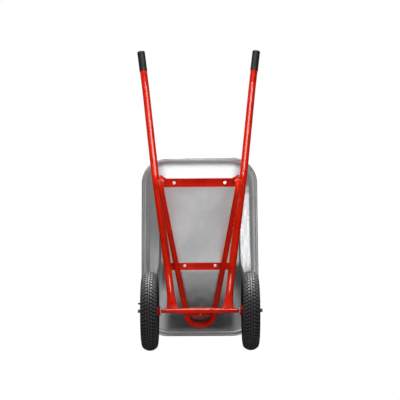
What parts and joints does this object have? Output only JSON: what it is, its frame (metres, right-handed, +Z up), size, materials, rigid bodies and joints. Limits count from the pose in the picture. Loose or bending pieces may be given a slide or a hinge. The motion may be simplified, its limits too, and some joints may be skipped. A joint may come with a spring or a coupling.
{
  "type": "wheelbarrow",
  "caption": "Garden barrow on a pair of pneumatic wheels, with a galvanised tray, bent tube handles and a tubular leg hoop.",
  "frame": {"origin": "On the ground, below the centre of the box that holds the whole barrow.", "axes": "+Z up, +Y forward from the grips to the wheels, +X to the right of the person who pushes."},
  "size_m": [0.6078, 1.423, 0.6529],
  "materials": {
    "red_paint": "gloss",
    "galvanised": "satin",
    "zinc_plate": "satin",
    "axle_steel": "satin",
    "tyre_rubber": "matt",
    "tube_rubber": "matt",
    "grip_rubber": "satin",
    "bush_plastic": "satin",
    "valve_brass": "satin",
    "cap_plastic": "satin"
  },
  "bodies": {
    "frame": {"tray": "galvanised", "rim_wire": "zinc_plate", "axle_tube": "red_paint", "axle_rod": "axle_steel", "axle_washers": "zinc_plate", "cotter_pin_left": "zinc_plate", "cotter_pin_right": "zinc_plate", "handle_tube_left": "red_paint", "handle_tube_right": "red_paint", "grip_left": "grip_rubber", "grip_right": "grip_rubber", "leg_hoop": "red_paint", "crossbar_rear": "red_paint", "crossbar_middle": "red_paint", "crossbar_front": "red_paint", "tray_bolts": "zinc_plate", "tray_washers": "zinc_plate", "tray_nuts": "zinc_plate"},
    "wheel_left": {"wheel_left_tyre": "tyre_rubber", "wheel_left_inner_tube": "tube_rubber", "wheel_left_rim_outer": "red_paint", "wheel_left_rim_inner": "red_paint", "wheel_left_hub": "red_paint", "wheel_left_bush_inner": "bush_plastic", "wheel_left_bush_outer": "bush_plastic", "wheel_left_valve_stem": "valve_brass", "wheel_left_valve_cap": "cap_plastic", "wheel_left_rim_bolts": "zinc_plate", "wheel_left_rim_nuts": "zinc_plate"},
    "wheel_right": {"wheel_right_tyre": "tyre_rubber", "wheel_right_inner_tube": "tube_rubber", "wheel_right_rim_outer": "red_paint", "wheel_right_rim_inner": "red_paint", "wheel_right_hub": "red_paint", "wheel_right_bush_inner": "bush_plastic", "wheel_right_bush_outer": "bush_plastic", "wheel_right_valve_stem": "valve_brass", "wheel_right_valve_cap": "cap_plastic", "wheel_right_rim_bolts": "zinc_plate", "wheel_right_rim_nuts": "zinc_plate"}
  },
  "joints": [
    {"name": "wheel_left_spin", "type": "hinge", "parent": "frame", "child": "wheel_left", "pos_m": [-0.229, 0.5325, 0.18], "axis": [1, 0, 0], "continuous": true},
    {"name": "wheel_right_spin", "type": "hinge", "parent": "frame", "child": "wheel_right", "pos_m": [0.229, 0.5325, 0.18], "axis": [1, 0, 0], "continuous": true}
  ]
}
